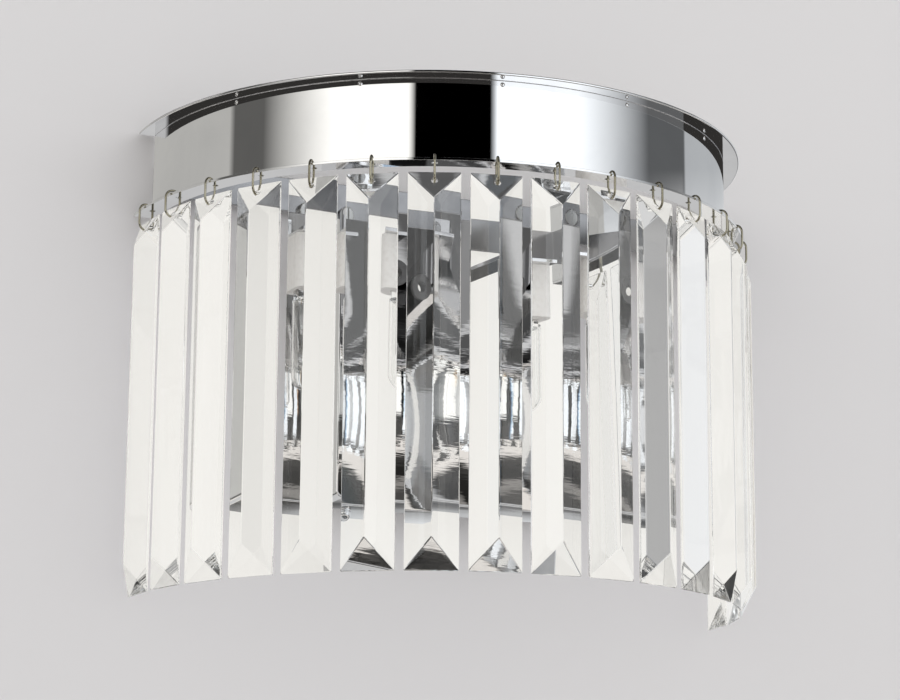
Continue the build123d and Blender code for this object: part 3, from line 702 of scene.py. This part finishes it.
def makeWorld():
    world = bpy.data.worlds.new("studio")
    bpy.context.scene.world = world
    world.use_nodes = True
    tree = world.node_tree
    tree.nodes.clear()
    way = addNode(tree, "TexCoord").outputs["Generated"]
    x, y, z = addNode(tree, "SeparateXYZ", {0: way}).outputs
    azimuth = maths(tree, "ARCTAN2", x, maths(tree, "MULTIPLY", y, -1.0))
    azimuth = maths(tree, "MULTIPLY", azimuth, 180 / math.pi)
    elevation = maths(tree, "MULTIPLY", maths(tree, "ARCSINE", z), 1 / math.pi)
    height = maths(tree, "ADD", elevation, 0.5)
    path = addNode(tree, "LightPath").outputs
    channels = []
    for k, shift in enumerate((-1, 0, 1)):
        # crystal bends each colour by its own angle, so light that came through it is read a little aside
        aside = maths(tree, "MULTIPLY", path["Is Transmission Ray"], shift * studio["fringe"])
        place = maths(tree, "DIVIDE", maths(tree, "ADD", maths(tree, "ADD", azimuth, aside), 180.0), 360.0)
        warm, cool = studio["warmSide"][k], studio["coolSide"][k]
        stops = [((at + 180) / 360, light * (cool if at > 0 else warm)) for at, light in lightAround()]
        channels.append(ramp(tree, place, stops))
    sides = addNode(tree, "CombineColor", dict(zip((0, 1, 2), channels))).outputs[0]

    def byHeight(key):
        return ramp(tree, height, [((at + 90) / 180, light) for at, light in studio[key]])

    rightwards = maths(tree, "MULTIPLY", maths(tree, "GREATER_THAN", azimuth, 0.0),
                       maths(tree, "LESS_THAN", azimuth, studio["roomFrom"][1]))
    reach = mixColour(tree, rightwards, byHeight("uprightLeft"), byHeight("uprightRight"))
    softBoxes = mixColour(tree, 1.0, sides, reach, "MULTIPLY")
    under = mixColour(tree, 1.0, byHeight("under"), (*studio["underTint"], 1), "MULTIPLY")
    fromBehind = maths(tree, "SUBTRACT", 180.0, maths(tree, "ABSOLUTE", azimuth))

    def byTurn(key):
        turned = maths(tree, "DIVIDE", fromBehind, 180.0)
        return ramp(tree, turned, [(at / 180, light) for at, light in studio[key]])

    behind = mixColour(tree, 1.0, byTurn("behindWidth"), byHeight("behindHeight"), "MULTIPLY")
    steep = mixColour(tree, 1.0, byTurn("steepWidth"), byHeight("steepHeight"), "MULTIPLY")
    behind = mixColour(tree, 1.0, behind, steep, "LIGHTEN")

    def byAzimuth(key):
        return ramp(tree, maths(tree, "DIVIDE", maths(tree, "ADD", azimuth, 180.0), 360.0),
                    [((at + 180) / 360, light) for at, light in studio[key]])

    low = mixColour(tree, 1.0, byAzimuth("low"), byHeight("lowUpright"), "MULTIPLY")
    over = mixColour(tree, 1.0, byAzimuth("overAround"), byHeight("over"), "MULTIPLY")
    softBoxes = mixColour(tree, 1.0, softBoxes, low, "ADD")
    lit = mixColour(tree, 1.0, softBoxes, over, "ADD")
    lit = mixColour(tree, 1.0, lit, under, "ADD")
    lit = mixColour(tree, 1.0, lit, behind, "LIGHTEN")
    fill = maths(tree, "MULTIPLY", path["Is Diffuse Ray"], studio["fill"])
    fill = addNode(tree, "CombineColor", {0: fill, 1: fill, 2: fill}).outputs[0]
    lit = mixColour(tree, 1.0, lit, fill, "ADD")
    seen = mixColour(tree, path["Is Camera Ray"], lit, (*studio["camera"], 1))
    background = addNode(tree, "Background", {"Color": seen, "Strength": 1.0})
    addNode(tree, "OutputWorld", {"Surface": background.outputs[0]})


makeWorld()
view = bpy.context.scene.view_settings
view.view_transform = "Standard"
# light is thrown back many times inside a prism's ends, which go black with fewer bounces
bounces = bpy.context.scene.cycles
bounces.max_bounces, bounces.glossy_bounces, bounces.transmission_bounces = 44, 40, 24
print("stage: studio made")


# camera, a little to the left of the sconce and below it

camera = {"target": (-0.015828, -0.060, -0.004556), "azimuth": -21.802, "elevation": -12.99, "roll": 0.409,
          "distance": 1.03839, "focalPixels": 2644.16, "imageWidth": 900, "sensor": 36.0,
          "nearest": 0.01, "farthest": 50.0}


def makeCamera():
    data = bpy.data.cameras.new("camera")
    made = bpy.data.objects.new("camera", data)
    bpy.context.scene.collection.objects.link(made)
    a, e, roll = (math.radians(camera[key]) for key in ("azimuth", "elevation", "roll"))
    back = Vector((math.sin(a) * math.cos(e), -math.cos(a) * math.cos(e), math.sin(e)))
    right = Vector((0, 0, 1)).cross(back).normalized()
    up = back.cross(right)
    rightRolled = right * math.cos(roll) + up * math.sin(roll)
    upRolled = up * math.cos(roll) - right * math.sin(roll)
    place = Vector(camera["target"]) + back * camera["distance"]
    turn = Matrix((rightRolled, upRolled, back)).transposed()
    made.matrix_world = Matrix.Translation(place) @ turn.to_4x4()
    data.sensor_width = camera["sensor"]
    data.lens = camera["sensor"] * camera["focalPixels"] / camera["imageWidth"]
    data.clip_start = camera["nearest"]
    data.clip_end = camera["farthest"]
    bpy.context.scene.camera = made


makeCamera()
print("stage: camera set")
